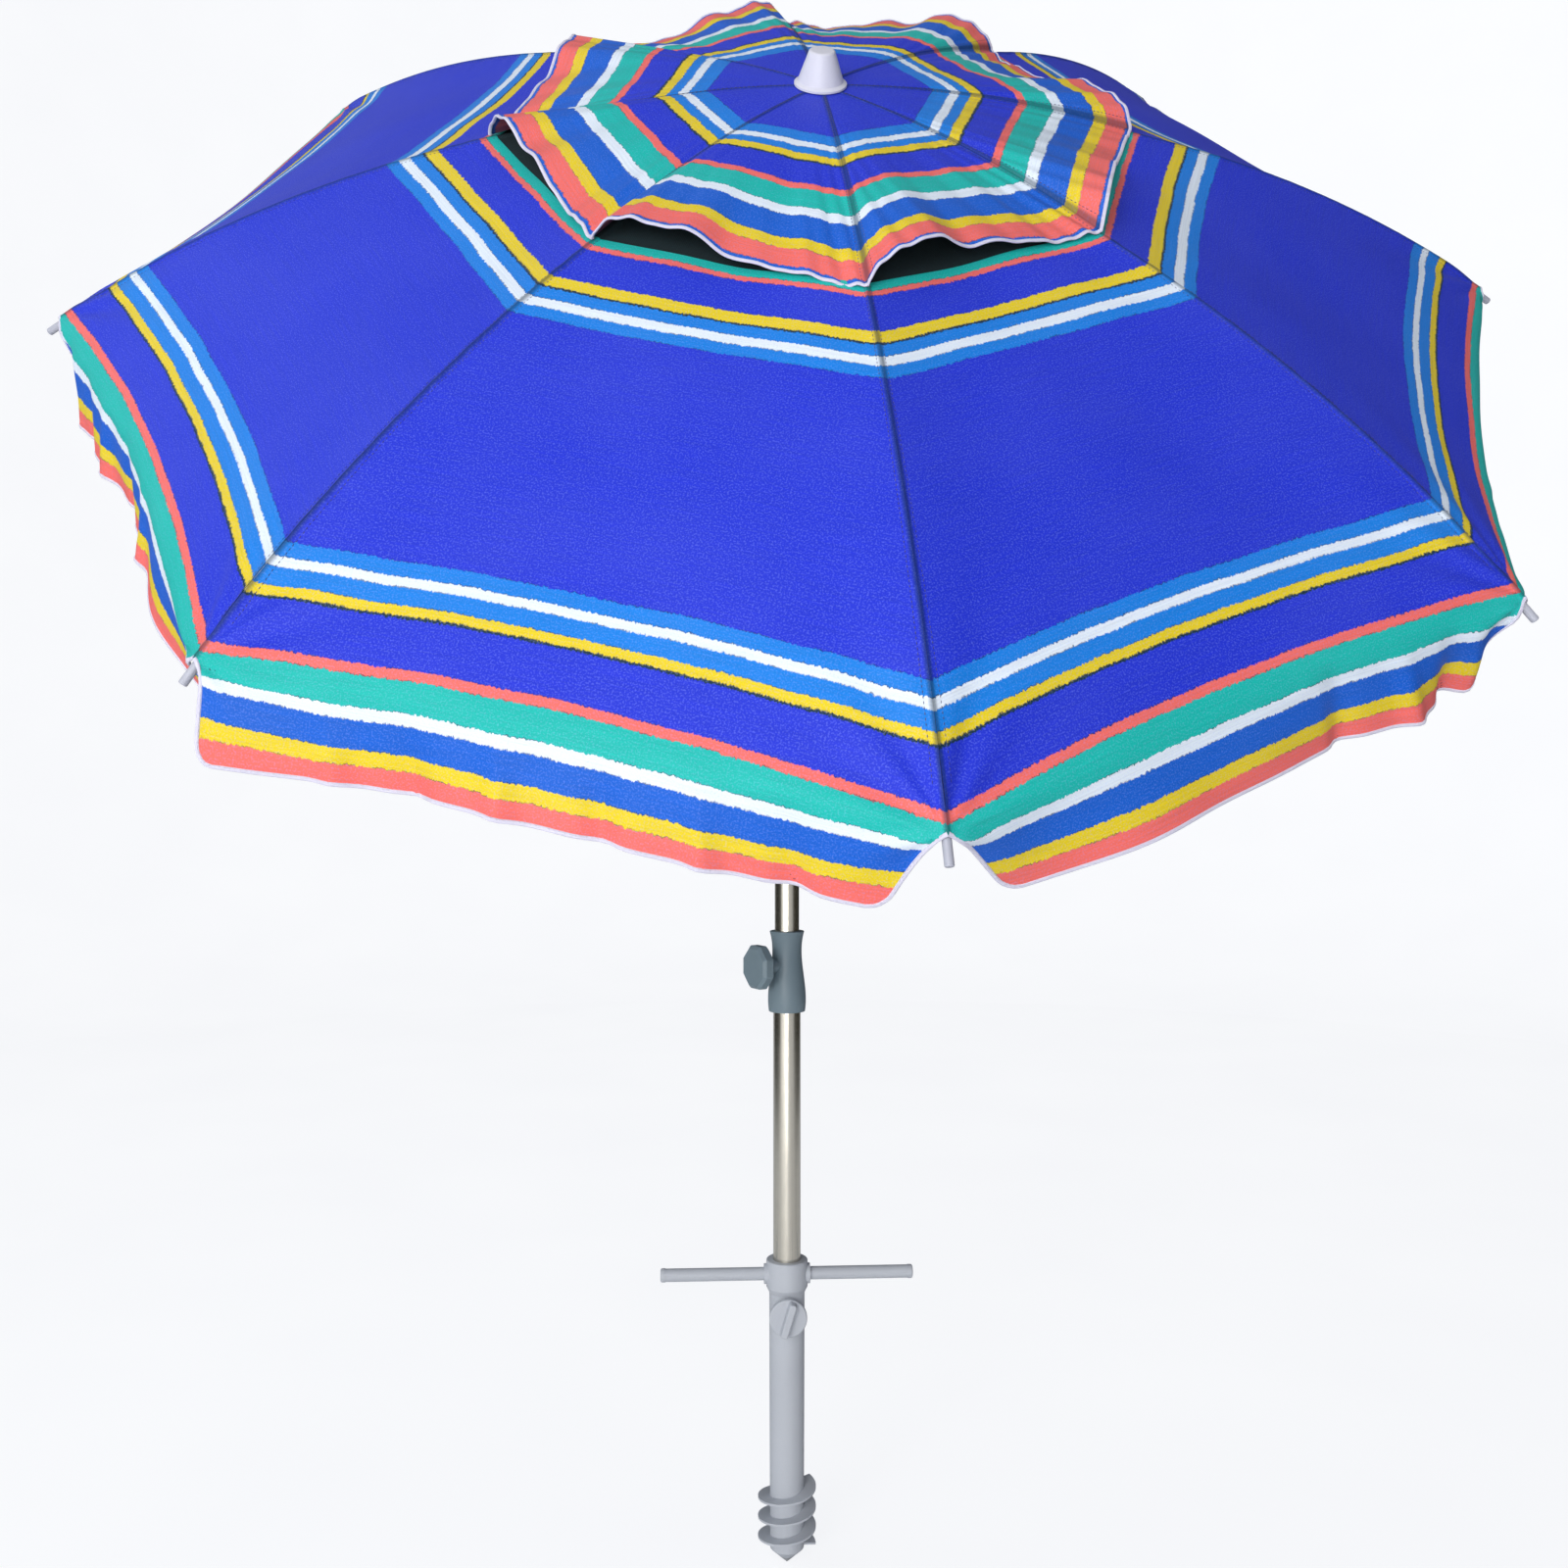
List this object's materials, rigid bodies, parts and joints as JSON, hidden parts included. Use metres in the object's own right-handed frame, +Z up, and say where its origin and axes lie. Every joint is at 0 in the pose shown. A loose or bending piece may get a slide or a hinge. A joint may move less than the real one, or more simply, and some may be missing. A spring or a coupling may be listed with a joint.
{
  "type": "beach umbrella",
  "caption": "Vented beach umbrella with hanging valance, tilting telescopic pole and screw-in sand anchor with T-handle.",
  "frame": {"origin": "on the pole's axis at the sand line, above the anchor's screw", "axes": "+Z up along the pole, +X along the T-handle, canopy leans towards -Y"},
  "size_m": [1.7116, 1.2197, 2.3625],
  "materials": {
    "anchor_plastic": "light lavender-grey moulded plastic",
    "clamp_plastic": "slate blue-grey moulded plastic",
    "head_plastic": "off-white moulded plastic",
    "tip_plastic": "silver-grey moulded plastic",
    "pole_metal": "champagne anodised aluminium tube",
    "steel": "zinc-plated steel",
    "canopy_fabric": "striped violet-blue polyester"
  },
  "bodies": {
    "anchor": {"anchor_body": "anchor_plastic", "anchor_handle_bars": "anchor_plastic", "anchor_handle_caps": "anchor_plastic", "anchor_nut": "steel"},
    "anchor_knob": {"anchor_knob": "anchor_plastic", "anchor_knob_screw": "steel"},
    "lower_pole": {"lower_pole": "pole_metal", "pole_foot_plug": "anchor_plastic", "pole_clamp": "clamp_plastic", "clamp_nut": "steel"},
    "clamp_knob": {"clamp_knob": "clamp_plastic", "clamp_knob_screw": "steel"},
    "upper_pole": {"upper_pole": "pole_metal", "upper_pole_bushing": "clamp_plastic", "tilt_fork": "clamp_plastic", "tilt_pin": "steel", "tilt_button_spring": "steel"},
    "tilt_button": {"tilt_button": "head_plastic"},
    "head": {"tilt_tongue": "clamp_plastic", "head_tube": "pole_metal", "tongue_rivets": "steel", "crown_hub": "head_plastic", "crown_wire": "steel", "finial": "head_plastic", "finial_screw": "steel"},
    "runner": {"runner": "head_plastic", "latch_pin": "steel"},
    "runner_latch": {"runner_latch": "clamp_plastic"},
    "rib_1": {"rib_1": "steel", "rib_tip_1": "tip_plastic", "canopy_gore_1": "canopy_fabric"},
    "stretcher_1": {"stretcher_1": "steel"},
    "rib_2": {"rib_2": "steel", "rib_tip_2": "tip_plastic", "canopy_gore_2": "canopy_fabric"},
    "stretcher_2": {"stretcher_2": "steel"},
    "rib_3": {"rib_3": "steel", "rib_tip_3": "tip_plastic", "canopy_gore_3": "canopy_fabric"},
    "stretcher_3": {"stretcher_3": "steel"},
    "rib_4": {"rib_4": "steel", "rib_tip_4": "tip_plastic", "canopy_gore_4": "canopy_fabric"},
    "stretcher_4": {"stretcher_4": "steel"},
    "rib_5": {"rib_5": "steel", "rib_tip_5": "tip_plastic", "canopy_gore_5": "canopy_fabric"},
    "stretcher_5": {"stretcher_5": "steel"},
    "rib_6": {"rib_6": "steel", "rib_tip_6": "tip_plastic", "canopy_gore_6": "canopy_fabric"},
    "stretcher_6": {"stretcher_6": "steel"},
    "rib_7": {"rib_7": "steel", "rib_tip_7": "tip_plastic", "canopy_gore_7": "canopy_fabric"},
    "stretcher_7": {"stretcher_7": "steel"},
    "rib_8": {"rib_8": "steel", "rib_tip_8": "tip_plastic", "canopy_gore_8": "canopy_fabric"},
    "stretcher_8": {"stretcher_8": "steel"}
  },
  "joints": [
    {"name": "anchor_knob_turn", "type": "hinge", "parent": "anchor", "child": "anchor_knob", "pos_m": [0, 0, 0.086], "axis": [0, -1, 0], "continuous": true},
    {"name": "pole_turn", "type": "hinge", "parent": "anchor", "child": "lower_pole", "pos_m": [0, 0, 0.1], "axis": [0, 0, 1], "continuous": true},
    {"name": "clamp_knob_turn", "type": "hinge", "parent": "lower_pole", "child": "clamp_knob", "pos_m": [0, 0, 0.611], "axis": [-0.866, -0.5, 0], "continuous": true},
    {"name": "pole_height", "type": "slide", "parent": "lower_pole", "child": "upper_pole", "axis": [0, 0, 1], "range_m": [-0.22, 0.06]},
    {"name": "tilt_button_press", "type": "slide", "parent": "upper_pole", "child": "tilt_button", "axis": [-1, 0, 0], "range_m": [0, 0.004], "deforming": ["tilt_button_spring"]},
    {"name": "tilt", "type": "hinge", "parent": "upper_pole", "child": "head", "pos_m": [0, 0, 0.989], "axis": [-1, 0, 0], "range_deg": [0, 46.3]},
    {"name": "canopy_fold", "type": "hinge", "parent": "head", "child": "rib_1", "pos_m": [0.00188, -0.66173, 1.58826], "axis": [0.9969, 0.0542, 0.0567], "range_deg": [0, 70], "deforming": ["canopy_gore_1", "canopy_gore_2", "canopy_gore_3", "canopy_gore_4", "canopy_gore_5", "canopy_gore_6", "canopy_gore_7", "canopy_gore_8"]},
    {"name": "stretcher_1_turn", "type": "hinge", "parent": "rib_1", "child": "stretcher_1", "pos_m": [0.02613, -0.84524, 1.33755], "axis": [-0.9969, -0.0542, -0.0567], "range_deg": [0, 118.12]},
    {"name": "rib_2_fold", "type": "hinge", "parent": "head", "child": "rib_2", "pos_m": [0.01825, -0.65596, 1.59429], "axis": [0.6494, 0.5254, 0.5497], "range_deg": [0, 70.05]},
    {"name": "stretcher_2_turn", "type": "hinge", "parent": "rib_2", "child": "stretcher_2", "pos_m": [0.25322, -0.7653, 1.4212], "axis": [-0.6494, -0.5254, -0.5497], "range_deg": [0, 118.12]},
    {"name": "rib_3_fold", "type": "hinge", "parent": "head", "child": "rib_3", "pos_m": [0.02393, -0.64389, 1.60692], "axis": [-0.0785, 0.6888, 0.7207], "range_deg": [0, 70.05]},
    {"name": "stretcher_3_turn", "type": "hinge", "parent": "rib_3", "child": "stretcher_3", "pos_m": [0.33197, -0.59783, 1.59644], "axis": [0.0785, -0.6888, -0.7207], "range_deg": [0, 118.12]},
    {"name": "rib_4_fold", "type": "hinge", "parent": "head", "child": "rib_4", "pos_m": [0.01559, -0.63259, 1.61876], "axis": [-0.7604, 0.4487, 0.4695], "range_deg": [0, 70.05]},
    {"name": "stretcher_4_turn", "type": "hinge", "parent": "rib_4", "child": "stretcher_4", "pos_m": [0.21627, -0.44094, 1.76062], "axis": [0.7604, -0.4487, -0.4695], "range_deg": [0, 118.12]},
    {"name": "rib_5_fold", "type": "hinge", "parent": "head", "child": "rib_5", "pos_m": [-0.00188, -0.62867, 1.62286], "axis": [-0.9969, -0.0542, -0.0567], "range_deg": [0, 70.05]},
    {"name": "stretcher_5_turn", "type": "hinge", "parent": "rib_5", "child": "stretcher_5", "pos_m": [-0.02613, -0.38653, 1.81756], "axis": [0.9969, 0.0542, 0.0567], "range_deg": [0, 118.12]},
    {"name": "rib_6_fold", "type": "hinge", "parent": "head", "child": "rib_6", "pos_m": [-0.01825, -0.63443, 1.61683], "axis": [-0.6494, -0.5254, -0.5497], "range_deg": [0, 70.05]},
    {"name": "stretcher_6_turn", "type": "hinge", "parent": "rib_6", "child": "stretcher_6", "pos_m": [-0.25322, -0.46647, 1.7339], "axis": [0.6494, 0.5254, 0.5497], "range_deg": [0, 118.12]},
    {"name": "rib_7_fold", "type": "hinge", "parent": "head", "child": "rib_7", "pos_m": [-0.02393, -0.6465, 1.6042], "axis": [0.0785, -0.6888, -0.7207], "range_deg": [0, 70.05]},
    {"name": "stretcher_7_turn", "type": "hinge", "parent": "rib_7", "child": "stretcher_7", "pos_m": [-0.33197, -0.63393, 1.55866], "axis": [-0.0785, 0.6888, 0.7207], "range_deg": [0, 118.12]},
    {"name": "rib_8_fold", "type": "hinge", "parent": "head", "child": "rib_8", "pos_m": [-0.01559, -0.6578, 1.59237], "axis": [0.7604, -0.4487, -0.4695], "range_deg": [0, 70.05]},
    {"name": "stretcher_8_turn", "type": "hinge", "parent": "rib_8", "child": "stretcher_8", "pos_m": [-0.21627, -0.79083, 1.39448], "axis": [-0.7604, 0.4487, 0.4695], "range_deg": [0, 118.12]},
    {"name": "runner_slide", "type": "slide", "parent": "head", "child": "runner", "axis": [0, 0.723, -0.6909], "range_m": [0, 0.4301]},
    {"name": "latch_press", "type": "hinge", "parent": "runner", "child": "runner_latch", "pos_m": [0.00758, -0.47288, 1.42031], "axis": [0.891, 0.3137, 0.3282], "range_deg": [0, 12]}
  ],
  "couplings": [
    {"joint": "stretcher_1_turn", "follows": "canopy_fold", "ratio": 1.686},
    {"joint": "rib_2_fold", "follows": "canopy_fold", "ratio": 1},
    {"joint": "stretcher_2_turn", "follows": "canopy_fold", "ratio": 1.686},
    {"joint": "rib_3_fold", "follows": "canopy_fold", "ratio": 1},
    {"joint": "stretcher_3_turn", "follows": "canopy_fold", "ratio": 1.686},
    {"joint": "rib_4_fold", "follows": "canopy_fold", "ratio": 1},
    {"joint": "stretcher_4_turn", "follows": "canopy_fold", "ratio": 1.686},
    {"joint": "rib_5_fold", "follows": "canopy_fold", "ratio": 1},
    {"joint": "stretcher_5_turn", "follows": "canopy_fold", "ratio": 1.686},
    {"joint": "rib_6_fold", "follows": "canopy_fold", "ratio": 1},
    {"joint": "stretcher_6_turn", "follows": "canopy_fold", "ratio": 1.686},
    {"joint": "rib_7_fold", "follows": "canopy_fold", "ratio": 1},
    {"joint": "stretcher_7_turn", "follows": "canopy_fold", "ratio": 1.686},
    {"joint": "rib_8_fold", "follows": "canopy_fold", "ratio": 1},
    {"joint": "stretcher_8_turn", "follows": "canopy_fold", "ratio": 1.686},
    {"joint": "runner_slide", "follows": "canopy_fold", "m_per_rad": 0.35167}
  ]
}
